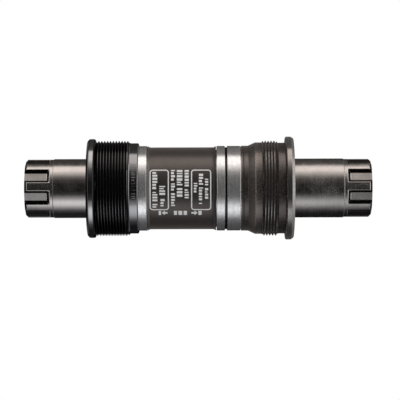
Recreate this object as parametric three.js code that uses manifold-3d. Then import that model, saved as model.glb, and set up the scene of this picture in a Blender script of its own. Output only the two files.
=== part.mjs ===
// Sealed cartridge bottom bracket with a hollow eight-spline axle, for a threaded 68 mm frame shell.
// Millimetres, +Z up. The axle lies along X, +X is the drive side, and the origin is the middle of
// the shell on the axle's axis, so the drive-side flange seats at X = +34.
import * as THREE from "three";
import { mergeVertices } from "three/addons/utils/BufferGeometryUtils.js";
import Module from "manifold-3d";

const wasm = await Module();
wasm.setup();

// ---- driving dimensions ----
const SHELL_WIDTH = 68;
const SHELL_HALF = SHELL_WIDTH / 2;
const ADAPTER_SHORT_OF_HOME = 1.3; // how far the left adapter stands out from its seat at rest

const AXLE_LEFT = -60.8;
const AXLE_LENGTH = 126;
const AXLE_RIGHT = AXLE_LEFT + AXLE_LENGTH;
const AXLE_R = 10.8;
const AXLE_MIDDLE_R = 11.2; // the stretch between the two bearings is thicker and stops the inner races
const SPLINE_TIP_R = 10.6;
const SPLINE_FLOOR_R = 9.45;
const SPLINE_COUNT = 8;
const SPLINE_PHASE = THREE.MathUtils.degToRad(19);
const GROOVE_FLOOR_HALF_ANGLE = THREE.MathUtils.degToRad(9);
const GROOVE_TOP_HALF_ANGLE = THREE.MathUtils.degToRad(14.6);
const GROOVE_WALL_RUN = 1.05; // length of the slanted wall that closes a spline groove
const LEFT_GROOVE_END = -52.7;
const RIGHT_GROOVE_END = 57.4;
const LEFT_COLLAR_END = -50.55;
const RIGHT_COLLAR_END = 55.2;
const COLLAR_STEP = 0.15;
const END_CHAMFER = 0.9;
const BOLT_THREAD_R = 6.97; // minor radius of the M15 x 1 crank bolt thread
const BOLT_THREAD_DEPTH = 24;
const BOLT_MOUTH_R = 7.7;
const AXLE_BORE_R = 6.5;

const THREAD_PITCH = 25.4 / 24; // 1.37 inch x 24 threads per inch
const THREAD_CREST_R = 17.38;
const THREAD_ROOT_R = 16.68;
const THREAD_HALF_ANGLE = THREE.MathUtils.degToRad(30);
const THREAD_LIFT = 0.05; // how far above the crests the groove's ends run out
const RELIEF_R = 16.55;

const TOOL_NOTCHES = 20; // internal splines for the cup tool
const TOOL_MINOR_R = 14.6;
const TOOL_MAJOR_R = 15.5;
const TOOL_LIP = 0.4; // plain lip left behind the notches

const CUP_LIP = 17.7; // inboard end of the drive-side cup
const CUP_BORE_R = 15.12;
const FLANGE_THICKNESS = 2.9;

const SLEEVE_R = 15;
const SLEEVE_BORE_R = 14.25;
const SLEEVE_LEFT = -16.3;
const SLEEVE_RIGHT = 8.65;
const SLEEVE_FLARE = 0.95; // length of the flare at each end, up to the races' radius

const RACE_R = 15.5;
const RACE_CHAMFER = 0.3;
const SPIGOT_R = 14.1; // stretch of an outer race that plugs into the sleeve
const SPIGOT_LENGTH = 3;
const RACE_LIP_BORE_R = 13;
const RACE_BORE_R = 13.65;
const INNER_RACE_HALF = 4.4; // half an inner race's width
const INNER_RACE_R = 12.15;
const INNER_RACE_BORE_R = 10.9;
const BEARING_X = 25.5; // each ball row's distance from the origin
const RACE_END = 30.4;
const SEAL_SEAT_R = 14;
const SEAL_SEAT_DEPTH = 1.4;

const RING_GROOVE_DEPTH = 0.45; // for the retaining rings, just outside the bearings
const RING_THICKNESS = 1;
const RING_X = RACE_END - 0.25;
const RING_SIDE_PLAY = 0.1;

const BALL_R = 2.778 / 2; // 7/64 inch
const BALLS_PER_ROW = 15;
const BALL_PITCH_R = 12.9;
const TRACK_R = BALL_R + 0.13;
const POCKET_R = BALL_R + 0.14;

const ROUND_STEPS = 32;
const HIDDEN_STEPS = 24; // round steps of the small rings inside the bearings
const TRACK_STEPS = 4;
const CUT_MARGIN = 1; // how far a cutter reaches past the surface that it opens

// ---- materials ----
function finish(color, roughness, metalness) {
  return new THREE.MeshStandardMaterial({ color, roughness, metalness });
}

const POLISHED_STEEL = finish(0xc4c4c8, 0.25, 1);
const AXLE_STEEL = finish(0x8d8580, 0.32, 1);
const BALL_STEEL = finish(0xe2e4e8, 0.08, 1);
const GLOSS_BLACK = finish(0x131315, 0.22, 0.4);
const DARK_STEEL = finish(0x3c3836, 0.4, 0.8);
const SLEEVE_PAINT = finish(0x3e3935, 0.48, 0.3);
const SEAL_RUBBER = finish(0x17181a, 0.75, 0);
const CAGE_POLYMER = finish(0x6b5a34, 0.6, 0);
const SPRING_STEEL = finish(0x4a4d52, 0.35, 1);

// ---- solids ----
function toSolid(geometry) {
  const bare = geometry.clone();
  bare.deleteAttribute("normal");
  bare.deleteAttribute("uv");
  const merged = mergeVertices(bare);
  return new wasm.Manifold(
    new wasm.Mesh({
      numProp: 3,
      vertProperties: new Float32Array(merged.attributes.position.array),
      triVerts: new Uint32Array(merged.index.array),
    }),
  );
}

function toGeometry(solid) {
  const mesh = solid.getMesh();
  const geometry = new THREE.BufferGeometry();
  geometry.setAttribute("position", new THREE.BufferAttribute(mesh.vertProperties, 3));
  geometry.setIndex(new THREE.BufferAttribute(mesh.triVerts, 1));
  geometry.computeVertexNormals();
  return geometry;
}

// A ring about X from its cross-section, a list of [x, radius]: the outside from left to right,
// then the inside from right to left.
function turned(section, steps = ROUND_STEPS) {
  const points = section.map(([x, radius]) => new THREE.Vector2(radius, x));
  points.push(points[0].clone());
  return new THREE.LatheGeometry(points, steps).rotateZ(-Math.PI / 2);
}

function mirrored(section) {
  return section.map(([x, radius]) => [-x, radius]).reverse();
}

// A ball track in a cross-section: points of a circle round the ball's centre, from startAngle to
// endAngle, measured from +X towards growing radius.
function trackArc(centreX, startAngle, endAngle) {
  const points = [];
  for (let i = 0; i <= TRACK_STEPS; i++) {
    const angle = startAngle + ((endAngle - startAngle) * i) / TRACK_STEPS;
    points.push([centreX + TRACK_R * Math.cos(angle), BALL_PITCH_R + TRACK_R * Math.sin(angle)]);
  }
  return points;
}

// A straight bar with the given outline, standing on the Y-Z plane and reaching along +X. The
// outline's first coordinate becomes Y and its second becomes Z.
function barAlongX(outline, startX, endX) {
  const shape = new THREE.Shape(outline.map(([a, b]) => new THREE.Vector2(a, b)));
  const bar = new THREE.ExtrudeGeometry(shape, { depth: endX - startX, bevelEnabled: false });
  const turn = new THREE.Matrix4().makeBasis(
    new THREE.Vector3(0, 1, 0),
    new THREE.Vector3(0, 0, 1),
    new THREE.Vector3(1, 0, 0),
  );
  return bar.applyMatrix4(turn).translate(startX, 0, 0);
}

// The V groove of a screw thread: a bar bent into a helix about X. A negative pitch winds it
// left-handed. The groove fades out over the last part of a turn at both ends.
function threadCutter(startX, pitch, turns) {
  const steps = Math.round(turns * ROUND_STEPS);
  const fadeSteps = ROUND_STEPS / 4;
  const depth = THREAD_CREST_R - THREAD_ROOT_R;
  const crestHalf = depth * Math.tan(THREAD_HALF_ANGLE);
  const outline = [
    [0, THREAD_ROOT_R],
    [crestHalf, THREAD_CREST_R],
    [crestHalf, THREAD_CREST_R + CUT_MARGIN],
    [-crestHalf, THREAD_CREST_R + CUT_MARGIN],
    [-crestHalf, THREAD_CREST_R],
  ];
  const shape = new THREE.Shape(outline.map(([a, b]) => new THREE.Vector2(a, b)));
  const bar = new THREE.ExtrudeGeometry(shape, { depth: steps, steps, bevelEnabled: false });
  const position = bar.attributes.position;
  for (let i = 0; i < position.count; i++) {
    const step = position.getZ(i);
    const angle = (2 * Math.PI * (step % ROUND_STEPS)) / ROUND_STEPS;
    const fade = Math.max(0, 1 - Math.min(step, steps - step) / fadeSteps);
    const radius = position.getY(i) + fade * (depth + THREAD_LIFT);
    const x = startX + position.getX(i) + (pitch * step) / ROUND_STEPS;
    position.setXYZ(i, x, -radius * Math.sin(angle), radius * Math.cos(angle));
  }
  return toSolid(bar);
}

// The internal splines' cutter: a toothed bar from startX to endX. A notch's half width is a share
// of the pitch between notches.
function toolNotchCutter(startX, endX) {
  const outline = [];
  const pitch = (2 * Math.PI) / TOOL_NOTCHES;
  const inner = TOOL_MINOR_R - CUT_MARGIN;
  const floorShare = 0.24;
  const mouthShare = 0.31;
  const corners = [
    [inner, -mouthShare],
    [TOOL_MAJOR_R, -floorShare],
    [TOOL_MAJOR_R, floorShare],
    [inner, mouthShare],
  ];
  for (let i = 0; i < TOOL_NOTCHES; i++) {
    for (const [radius, share] of corners) {
      const angle = (i + share) * pitch;
      outline.push([radius * Math.cos(angle), radius * Math.sin(angle)]);
    }
  }
  return toSolid(barAlongX(outline, startX, endX));
}

// ---- axle ----
function splineGrooveCutter(side) {
  const floorEnd = side < 0 ? LEFT_GROOVE_END : RIGHT_GROOVE_END;
  const openEnd = side < 0 ? AXLE_LEFT - CUT_MARGIN : AXLE_RIGHT + CUT_MARGIN;
  const topR = SPLINE_TIP_R + CUT_MARGIN;
  const floorHalf = SPLINE_FLOOR_R * Math.sin(GROOVE_FLOOR_HALF_ANGLE);
  const tipHalf = SPLINE_TIP_R * Math.sin(GROOVE_TOP_HALF_ANGLE);
  const flare = (tipHalf - floorHalf) / (SPLINE_TIP_R - SPLINE_FLOOR_R);
  const topHalf = floorHalf + flare * (topR - SPLINE_FLOOR_R);
  const outline = [
    [-floorHalf, SPLINE_FLOOR_R],
    [floorHalf, SPLINE_FLOOR_R],
    [topHalf, topR],
    [-topHalf, topR],
  ];
  const bar = barAlongX(outline, Math.min(floorEnd, openEnd), Math.max(floorEnd, openEnd));
  const position = bar.attributes.position;
  const slope = GROOVE_WALL_RUN / (SPLINE_TIP_R - SPLINE_FLOOR_R);
  const tolerance = 0.01;
  for (let i = 0; i < position.count; i++) {
    if (Math.abs(position.getX(i) - floorEnd) < tolerance) {
      position.setX(i, floorEnd - side * slope * (position.getZ(i) - SPLINE_FLOOR_R));
    }
  }
  return bar;
}

function ringGroove(side) {
  const near = RING_X - RING_SIDE_PLAY;
  const far = RING_X + RING_THICKNESS + RING_SIDE_PLAY;
  const groove = [
    [near, AXLE_R],
    [near, AXLE_R - RING_GROOVE_DEPTH],
    [far, AXLE_R - RING_GROOVE_DEPTH],
    [far, AXLE_R],
  ];
  return side < 0 ? mirrored(groove) : groove;
}

function axle() {
  const shoulder = BEARING_X - INNER_RACE_HALF - 0.2;
  const mouthDepth = 1;
  const step = 0.6; // length of each small cone between two bores
  const section = [
    [AXLE_LEFT, SPLINE_TIP_R - END_CHAMFER],
    [AXLE_LEFT + END_CHAMFER, SPLINE_TIP_R],
    [LEFT_COLLAR_END, SPLINE_TIP_R],
    [LEFT_COLLAR_END + COLLAR_STEP, AXLE_R],
    ...ringGroove(-1),
    [-shoulder, AXLE_R],
    [-shoulder, AXLE_MIDDLE_R],
    [shoulder, AXLE_MIDDLE_R],
    [shoulder, AXLE_R],
    ...ringGroove(1),
    [RIGHT_COLLAR_END - COLLAR_STEP, AXLE_R],
    [RIGHT_COLLAR_END, SPLINE_TIP_R],
    [AXLE_RIGHT - END_CHAMFER, SPLINE_TIP_R],
    [AXLE_RIGHT, SPLINE_TIP_R - END_CHAMFER],
    [AXLE_RIGHT, BOLT_MOUTH_R],
    [AXLE_RIGHT - mouthDepth, BOLT_MOUTH_R],
    [AXLE_RIGHT - mouthDepth - step, BOLT_THREAD_R],
    [AXLE_RIGHT - BOLT_THREAD_DEPTH, BOLT_THREAD_R],
    [AXLE_RIGHT - BOLT_THREAD_DEPTH - step, AXLE_BORE_R],
    [AXLE_LEFT + BOLT_THREAD_DEPTH + step, AXLE_BORE_R],
    [AXLE_LEFT + BOLT_THREAD_DEPTH, BOLT_THREAD_R],
    [AXLE_LEFT + mouthDepth + step, BOLT_THREAD_R],
    [AXLE_LEFT + mouthDepth, BOLT_MOUTH_R],
    [AXLE_LEFT, BOLT_MOUTH_R],
  ];
  let body = toSolid(turned(section));
  for (const side of [-1, 1]) {
    for (let i = 0; i < SPLINE_COUNT; i++) {
      const cutter = splineGrooveCutter(side).rotateX(SPLINE_PHASE + (2 * Math.PI * i) / SPLINE_COUNT);
      body = body.subtract(toSolid(cutter));
    }
  }
  return toGeometry(body);
}

// An open spring ring in the axle's groove, its gap at the bottom.
function retainingRing(side) {
  const startX = side < 0 ? -RING_X - RING_THICKNESS : RING_X;
  const innerR = AXLE_R - 0.3;
  const outerR = AXLE_R + 1.3;
  const gap = THREE.MathUtils.degToRad(26);
  const shape = new THREE.Shape();
  shape.absarc(0, 0, outerR, gap / 2, 2 * Math.PI - gap / 2, false);
  shape.absarc(0, 0, innerR, 2 * Math.PI - gap / 2, gap / 2, true);
  const settings = { depth: RING_THICKNESS, bevelEnabled: false, curveSegments: 20 };
  return new THREE.ExtrudeGeometry(shape, settings).rotateY(Math.PI / 2).translate(startX, 0, 0);
}

// ---- bearings ----
function innerRace(side) {
  const outerEnd = -BEARING_X - INNER_RACE_HALF;
  const innerEnd = -BEARING_X + INNER_RACE_HALF;
  const trackHalf = Math.asin((BALL_PITCH_R - INNER_RACE_R) / TRACK_R);
  const section = [
    [outerEnd, INNER_RACE_R - RACE_CHAMFER],
    [outerEnd + RACE_CHAMFER, INNER_RACE_R],
    ...trackArc(-BEARING_X, Math.PI + trackHalf, 2 * Math.PI - trackHalf),
    [innerEnd - RACE_CHAMFER, INNER_RACE_R],
    [innerEnd, INNER_RACE_R - RACE_CHAMFER],
    [innerEnd, INNER_RACE_BORE_R],
    [outerEnd, INNER_RACE_BORE_R],
  ];
  return turned(side < 0 ? section : mirrored(section), HIDDEN_STEPS);
}

// The inside of the left outer race, from its spigot out to its seal seat, right to left.
function outerRaceInside(spigotEnd) {
  const trackHalf = Math.asin((RACE_BORE_R - BALL_PITCH_R) / TRACK_R);
  const lipX = -BEARING_X + 4.5;
  const seatX = -RACE_END + SEAL_SEAT_DEPTH;
  return [
    [spigotEnd, RACE_LIP_BORE_R],
    [lipX, RACE_LIP_BORE_R],
    [lipX, RACE_BORE_R],
    ...trackArc(-BEARING_X, trackHalf, Math.PI - trackHalf),
    [seatX, RACE_BORE_R],
    [seatX, SEAL_SEAT_R],
    [-RACE_END, SEAL_SEAT_R],
  ];
}

function leftOuterRace() {
  const shoulder = SLEEVE_LEFT - 0.2;
  return turned([
    [-RACE_END, RACE_R - RACE_CHAMFER],
    [-RACE_END + RACE_CHAMFER, RACE_R],
    [shoulder, RACE_R],
    [shoulder, SPIGOT_R],
    [shoulder + SPIGOT_LENGTH, SPIGOT_R],
    ...outerRaceInside(shoulder + SPIGOT_LENGTH),
  ]);
}

// The drive-side race is grooved near the sleeve, and steps down where it is pressed into the cup.
function rightOuterRace() {
  const shoulder = SLEEVE_RIGHT + 0.25;
  const chamfer = 0.15;
  const grooveLeft = 11.85;
  const grooveRight = 12.7;
  const grooveDepth = 0.5;
  const step = CUP_LIP - 0.2;
  const seatR = CUP_BORE_R - 0.12;
  const outside = [
    [shoulder - SPIGOT_LENGTH, SPIGOT_R],
    [shoulder, SPIGOT_R],
    [shoulder, RACE_R - chamfer],
    [shoulder + chamfer, RACE_R],
    [grooveLeft, RACE_R],
    [grooveLeft, RACE_R - grooveDepth],
    [grooveRight, RACE_R - grooveDepth],
    [grooveRight, RACE_R],
    [step, RACE_R],
    [step, seatR],
    [RACE_END, seatR],
  ];
  const inside = mirrored(outerRaceInside(SPIGOT_LENGTH - shoulder));
  return turned([...outside, ...inside]);
}

function ballCage() {
  const half = 2.3;
  const innerR = BALL_PITCH_R - 0.5;
  const outerR = BALL_PITCH_R + 0.5;
  const section = [
    [-half, outerR],
    [half, outerR],
    [half, innerR],
    [-half, innerR],
  ];
  let ring = toSolid(turned(section, HIDDEN_STEPS));
  for (let i = 0; i < BALLS_PER_ROW; i++) {
    const pocket = new THREE.CylinderGeometry(POCKET_R, POCKET_R, 3, 8)
      .translate(0, BALL_PITCH_R, 0)
      .rotateX((2 * Math.PI * i) / BALLS_PER_ROW);
    ring = ring.subtract(toSolid(pocket));
  }
  return toGeometry(ring);
}

function outerSeal(side) {
  const faceX = -RACE_END + 0.2;
  const backX = -RACE_END + SEAL_SEAT_DEPTH - 0.15;
  const rimR = SEAL_SEAT_R - 0.14;
  const lipR = INNER_RACE_R + 0.15;
  const bevel = 0.25;
  const section = [
    [faceX, rimR - bevel],
    [faceX + bevel, rimR],
    [backX, rimR],
    [backX, lipR],
    [faceX, lipR],
  ];
  return turned(side < 0 ? section : mirrored(section), HIDDEN_STEPS);
}

function innerShield(side) {
  const nearX = -BEARING_X + 3.3;
  const farX = -BEARING_X + 4.1;
  const rimR = RACE_BORE_R - 0.14;
  const lipR = INNER_RACE_R + 0.2;
  const section = [
    [nearX, rimR],
    [farX, rimR],
    [farX, lipR],
    [nearX, lipR],
  ];
  return turned(side < 0 ? section : mirrored(section), HIDDEN_STEPS);
}

// ---- sleeve and cups ----
function centerSleeve() {
  const flareR = RACE_R - 0.05;
  return turned([
    [SLEEVE_LEFT, flareR],
    [SLEEVE_LEFT + SLEEVE_FLARE, SLEEVE_R],
    [SLEEVE_RIGHT - SLEEVE_FLARE, SLEEVE_R],
    [SLEEVE_RIGHT, flareR],
    [SLEEVE_RIGHT, SLEEVE_BORE_R],
    [SLEEVE_LEFT, SLEEVE_BORE_R],
  ]);
}

// Flanged cup with a left-hand thread, which stays fixed on the cartridge.
function driveSideCup() {
  const flangeR = 18.85;
  const flangeOuter = SHELL_HALF + FLANGE_THICKNESS;
  const threadStart = 25.3;
  const threadEnd = 31.2;
  const threadBevel = 0.5;
  const landR = 16.75;
  const lipR = 15.55;
  const coneStart = 20.3;
  const coneEnd = 22.9;
  const lipEdge = 0.15;
  const flangeEdge = 0.25;
  const faceBevel = [1, 0.65];
  const shoulder = RACE_END + 0.6;
  const section = [
    [CUP_LIP, lipR - lipEdge],
    [CUP_LIP + lipEdge, lipR],
    [coneStart, lipR],
    [coneEnd, landR],
    [threadStart, landR],
    [threadStart + threadBevel, THREAD_CREST_R],
    [threadEnd - threadBevel, THREAD_CREST_R],
    [threadEnd, RELIEF_R],
    [SHELL_HALF, RELIEF_R],
    [SHELL_HALF, flangeR - flangeEdge],
    [SHELL_HALF + flangeEdge, flangeR],
    [flangeOuter - faceBevel[0], flangeR],
    [flangeOuter, flangeR - faceBevel[1]],
    [flangeOuter, TOOL_MINOR_R],
    [shoulder, TOOL_MINOR_R],
    [shoulder, CUP_BORE_R],
    [CUP_LIP, CUP_BORE_R],
  ];
  const turns = (threadEnd - threadStart) / THREAD_PITCH;
  const cup = toSolid(turned(section))
    .subtract(threadCutter(threadEnd, -THREAD_PITCH, turns))
    .subtract(toolNotchCutter(shoulder + TOOL_LIP, flangeOuter + CUT_MARGIN));
  return toGeometry(cup);
}

// Flanged ring with a right-hand thread. It slides over the left outer race from outside, and is
// drawn here seated against the shell, with its flange at X = -34.
function leftAdapter() {
  const flangeR = 18.1;
  const flangeOuter = -SHELL_HALF - FLANGE_THICKNESS;
  const threadStart = -SHELL_HALF + 0.3;
  const threadEnd = -21.4;
  const threadBevel = 0.45;
  const noseEnd = -18.2;
  const noseEdge = 0.3;
  const boreR = RACE_R + 0.15;
  const faceBevel = 0.8;
  const seatBevel = [0.5, 0.35];
  const shoulder = -SHELL_HALF + 3.1;
  const section = [
    [flangeOuter, flangeR - faceBevel],
    [flangeOuter + faceBevel, flangeR],
    [-SHELL_HALF - seatBevel[0], flangeR],
    [-SHELL_HALF, flangeR - seatBevel[1]],
    [-SHELL_HALF, RELIEF_R],
    [threadStart, RELIEF_R],
    [threadStart + THREAD_LIFT, THREAD_CREST_R],
    [threadEnd - threadBevel, THREAD_CREST_R],
    [threadEnd, RELIEF_R],
    [noseEnd - noseEdge, RELIEF_R],
    [noseEnd, RELIEF_R - noseEdge],
    [noseEnd, boreR + noseEdge],
    [noseEnd - noseEdge, boreR],
    [shoulder, boreR],
    [shoulder, TOOL_MINOR_R],
    [flangeOuter, TOOL_MINOR_R],
  ];
  const turns = (threadEnd - threadStart) / THREAD_PITCH;
  const cup = toSolid(turned(section))
    .subtract(threadCutter(threadStart + 0.2, THREAD_PITCH, turns))
    .subtract(toolNotchCutter(flangeOuter - CUT_MARGIN, shoulder - TOOL_LIP));
  return toGeometry(cup);
}

// ---- assembly ----
function part(name, geometry, material, x = 0) {
  const mesh = new THREE.Mesh(geometry, material);
  mesh.name = name;
  mesh.position.x = x;
  return mesh;
}

function ballRow(sideName, x) {
  const row = new THREE.Group();
  row.position.x = x;
  row.add(part(`${sideName}_ball_cage`, ballCage(), CAGE_POLYMER));
  const ball = new THREE.IcosahedronGeometry(BALL_R, 1);
  for (let i = 0; i < BALLS_PER_ROW; i++) {
    const angle = (2 * Math.PI * i) / BALLS_PER_ROW;
    const mesh = part(`${sideName}_ball_${String(i + 1).padStart(2, "0")}`, ball, BALL_STEEL);
    mesh.position.set(0, BALL_PITCH_R * Math.cos(angle), BALL_PITCH_R * Math.sin(angle));
    row.add(mesh);
  }
  return row;
}

const bottomBracket = new THREE.Group();
bottomBracket.add(part("axle", axle(), AXLE_STEEL));
bottomBracket.add(part("center_sleeve", centerSleeve(), SLEEVE_PAINT));
bottomBracket.add(part("left_outer_race", leftOuterRace(), POLISHED_STEEL));
bottomBracket.add(part("right_outer_race", rightOuterRace(), POLISHED_STEEL));
bottomBracket.add(part("drive_side_cup", driveSideCup(), DARK_STEEL));
bottomBracket.add(part("left_adapter_cup", leftAdapter(), GLOSS_BLACK, -ADAPTER_SHORT_OF_HOME));
for (const [sideName, side] of [["left", -1], ["right", 1]]) {
  bottomBracket.add(part(`${sideName}_inner_race`, innerRace(side), POLISHED_STEEL));
  bottomBracket.add(part(`${sideName}_outer_seal`, outerSeal(side), SEAL_RUBBER));
  bottomBracket.add(part(`${sideName}_inner_shield`, innerShield(side), SPRING_STEEL));
  bottomBracket.add(part(`${sideName}_retaining_ring`, retainingRing(side), SPRING_STEEL));
  bottomBracket.add(ballRow(sideName, side * BEARING_X));
}

export default bottomBracket;
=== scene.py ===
"""Looks of a cartridge bottom bracket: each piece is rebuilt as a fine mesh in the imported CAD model's place.

The axle lies along X, +X is the drive side, the printed side faces -Y and +Z is up. Outlines are lists of
(x, radius) or (x, radius, fillet) in millimetres, and angles run from -Y up towards +Z.
"""

import math
import random

import bmesh
import bpy
from mathutils import Matrix, Vector


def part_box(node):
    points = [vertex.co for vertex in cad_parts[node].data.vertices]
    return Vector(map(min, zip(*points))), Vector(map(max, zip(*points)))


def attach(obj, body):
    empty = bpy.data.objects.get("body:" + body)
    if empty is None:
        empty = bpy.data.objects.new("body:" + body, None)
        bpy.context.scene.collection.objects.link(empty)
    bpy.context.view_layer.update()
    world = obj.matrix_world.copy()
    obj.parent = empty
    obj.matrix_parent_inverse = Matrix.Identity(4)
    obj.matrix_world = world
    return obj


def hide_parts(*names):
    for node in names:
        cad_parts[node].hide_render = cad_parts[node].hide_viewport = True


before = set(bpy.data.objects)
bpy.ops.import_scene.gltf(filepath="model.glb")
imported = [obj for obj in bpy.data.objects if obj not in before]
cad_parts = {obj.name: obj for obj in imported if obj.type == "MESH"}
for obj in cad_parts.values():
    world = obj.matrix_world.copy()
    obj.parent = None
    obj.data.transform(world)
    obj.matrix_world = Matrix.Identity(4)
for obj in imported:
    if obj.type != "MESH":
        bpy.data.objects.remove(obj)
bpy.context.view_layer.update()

MM = 0.001
TURN = 2 * math.pi
MERGE = 4e-7  # metres: vertices closer than this are one
SHARP = math.radians(38)  # edges that turn by more than this are shaded sharp
SIDE_NAMES = {-1: "left", 1: "right"}

# ---------------------------------------------------------------- sizes in millimetres
FLANGE_DEPTH = 2.9  # from a cup's outer face to the inner side of its flange
MOUTH_R = 16.3  # a cup's outer face starts at this radius
MOUTH_BEVEL = 0.2
TOOL_NOTCHES = 20
TOOL_MINOR = 14.6
TOOL_MAJOR = 15.5
NOSE_R = 16.55
SPLINES = 8
SPLINE_FLOOR = 9.42
SPLINE_TIP = 10.6
SHAFT_R = 10.8
TOOTH_ANGLE = math.radians(3.5)  # one axle tooth points this far above the printed side's middle
BALLS_PER_ROW = 15
TRACK_GAP = 0.11  # a ball track's radius is this much more than a ball's
BORE_LIP = 13
RACE_BORE = 13.65
INNER_RACE = 12.15
SEAL_SEAT = 14
SPIGOT = 14.1
RACE_GROOVE = 3.2  # from the sleeve's right end to the right race's groove
SLEEVE_R = 15
FILM_LOW = SLEEVE_R + 0.002
FILM_HIGH = SLEEVE_R + 0.035
PRINT_LINE = 0.4
BLOCK_BEVEL = 0.07

# A thread's profile is (share of the pitch, share of the depth) points from one crest's left corner to the
# next, and its side is 1 on an outside thread and -1 on an inside one.
CUP_THREAD = {
    "pitch": 25.4 / 24, "crest": 17.38, "depth": 0.7, "side": 1,
    "profile": ((0, 0.05), (0.03, 0), (0.19, 0), (0.22, 0.05), (0.38, 0.52), (0.53, 0.97), (0.59, 1),
                (0.65, 0.97), (0.84, 0.5)),
}
BOLT_THREAD = {
    "pitch": 1.0, "crest": 6.97, "depth": 0.52, "side": -1,
    "profile": ((0, 0), (0.14, 0), (0.5, 1), (0.62, 1)),
}
THREAD_CREST = CUP_THREAD["crest"]
BOLT_MINOR = BOLT_THREAD["crest"]


def span(node):
    """A turned CAD node's left end, right end and outer radius, in millimetres."""
    low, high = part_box(node)
    return low.x / MM, high.x / MM, high.z / MM


# ---------------------------------------------------------------- outlines
def rounded(outline, steps=4, support=0.06):
    """The closed outline's points, with an arc at each corner that has a fillet. Each arc gets a support
    point on both sides, which keeps the shading of the long straight stretches even."""
    points = []
    count = len(outline)
    for i, corner in enumerate(outline):
        here = Vector(corner[:2])
        if len(corner) < 3:
            points.append(here)
            continue
        before = Vector(outline[i - 1][:2]) - here
        after = Vector(outline[(i + 1) % count][:2]) - here
        angle = before.angle(after)
        reach = min(corner[2] / math.tan(angle / 2), 0.45 * before.length, 0.45 * after.length)
        radius = reach * math.tan(angle / 2)
        a, b = before.normalized(), after.normalized()
        centre = here + (a + b).normalized() * (radius / math.sin(angle / 2))
        start = here + a * reach - centre
        end = here + b * reach - centre
        sweep = start.angle(end)
        if before.length > 2.5 * (reach + support):
            points.append(here + a * (reach + support))
        for k in range(steps + 1):
            share = k / steps
            mix = start * math.sin((1 - share) * sweep) + end * math.sin(share * sweep)
            points.append(centre + mix / math.sin(sweep))
        if after.length > 2.5 * (reach + support):
            points.append(here + b * (reach + support))
    return [(p.x, p.y) for p in points]


def mirrored(outline):
    """The same outline for the other end of the object."""
    return [(-corner[0], *corner[1:]) for corner in reversed(outline)]


def on_side(side, outline):
    """An outline that is drawn for the left end, as it is on this side."""
    return outline if side < 0 else mirrored(outline)


def polyline(points):
    """A function that gives the radius at x along (x, radius) points in rising x."""

    def radius_at(x):
        if x <= points[0][0]:
            return points[0][1]
        for (x0, r0), (x1, r1) in zip(points, points[1:]):
            if x <= x1:
                return r0 + (r1 - r0) * (x - x0) / (x1 - x0)
        return points[-1][1]

    return radius_at


# ---------------------------------------------------------------- turned meshes
def vertex(bm, x, angle, radius):
    return bm.verts.new((x * MM, -radius * math.cos(angle) * MM, radius * math.sin(angle) * MM))


def plain_rows(points, angles):
    """Rows of a plain turned surface: the same x and radius all the way round."""
    return [[(x, radius)] * len(angles) for x, radius in points]


def shade_smooth(mesh):
    mesh.polygons.foreach_set("use_smooth", [True] * len(mesh.polygons))
    mesh.set_sharp_from_angle(angle=SHARP)


def finish_mesh(name, bm, smooth=True):
    """Merges doubled vertices, turns the faces outwards and makes the object."""
    bmesh.ops.remove_doubles(bm, verts=bm.verts, dist=MERGE)
    bmesh.ops.dissolve_degenerate(bm, edges=bm.edges, dist=MERGE)
    bmesh.ops.recalc_face_normals(bm, faces=bm.faces)
    mesh = bpy.data.meshes.new(name)
    bm.to_mesh(mesh)
    bm.free()
    if smooth:
        shade_smooth(mesh)
    piece = bpy.data.objects.new(name, mesh)
    bpy.context.scene.collection.objects.link(piece)
    return piece


def revolve(name, rows, angles):
    """A closed turned mesh from rows that go once round the cross-section."""
    bm = bmesh.new()
    grid = [[vertex(bm, x, angle, radius) for (x, radius), angle in zip(row, angles)] for row in rows]
    for j, row in enumerate(grid):
        above = grid[(j + 1) % len(grid)]
        for i in range(len(angles) - 1):
            bm.faces.new((row[i], row[i + 1], above[i + 1], above[i]))
    return finish_mesh(name, bm)


def turned(name, outline, columns=120):
    angles = [TURN * i / columns for i in range(columns + 1)]
    return revolve(name, plain_rows(rounded(outline), angles), angles)


def thread_rows(x_low, x_high, angles, envelope, right_hand, *, pitch, crest, depth, profile, side):
    """Rows that follow a screw thread between two plain ends. envelope gives the radius that the thread is
    cut from."""
    fade_length = 0.45 * pitch
    rows = []
    for n in range(-1, math.ceil((x_high - x_low) / pitch)):
        for pitch_share, depth_share in profile:
            row = []
            for angle in angles:
                lead = 1 - angle / TURN if right_hand else angle / TURN
                x = min(max(x_low + pitch * (n + lead + pitch_share), x_low), x_high)
                fade = min(1, (x - x_low) / fade_length, (x_high - x) / fade_length)
                surface = envelope(x)
                cut = max(0, side * (surface - crest) + depth * depth_share)
                row.append((x, surface - side * cut * fade))
            rows.append(row)
    return rows


# ---------------------------------------------------------------- cups
# Shares of a notch's pitch from its middle: the notch is open up to NOTCH_OPEN and closed from NOTCH_SHUT.
NOTCH_OPEN = 0.24
NOTCH_SHUT = 0.31
NOTCH_SHARES = (-0.5, -0.36, -NOTCH_SHUT, -NOTCH_OPEN, -0.19, 0, 0.19, NOTCH_OPEN, NOTCH_SHUT, 0.36)


def notch_angles():
    """Column angles that have a column on every edge of the tool notches."""
    pitch = TURN / TOOL_NOTCHES
    return [(i + share + 0.5) * pitch for i in range(TOOL_NOTCHES) for share in NOTCH_SHARES] + [TURN]


def notch_radius(angle):
    share = abs((angle * TOOL_NOTCHES / TURN) % 1 - 0.5)
    depth = min(1, max(0, (NOTCH_SHUT - share) / (NOTCH_SHUT - NOTCH_OPEN)))
    return TOOL_MINOR + (TOOL_MAJOR - TOOL_MINOR) * depth


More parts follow.
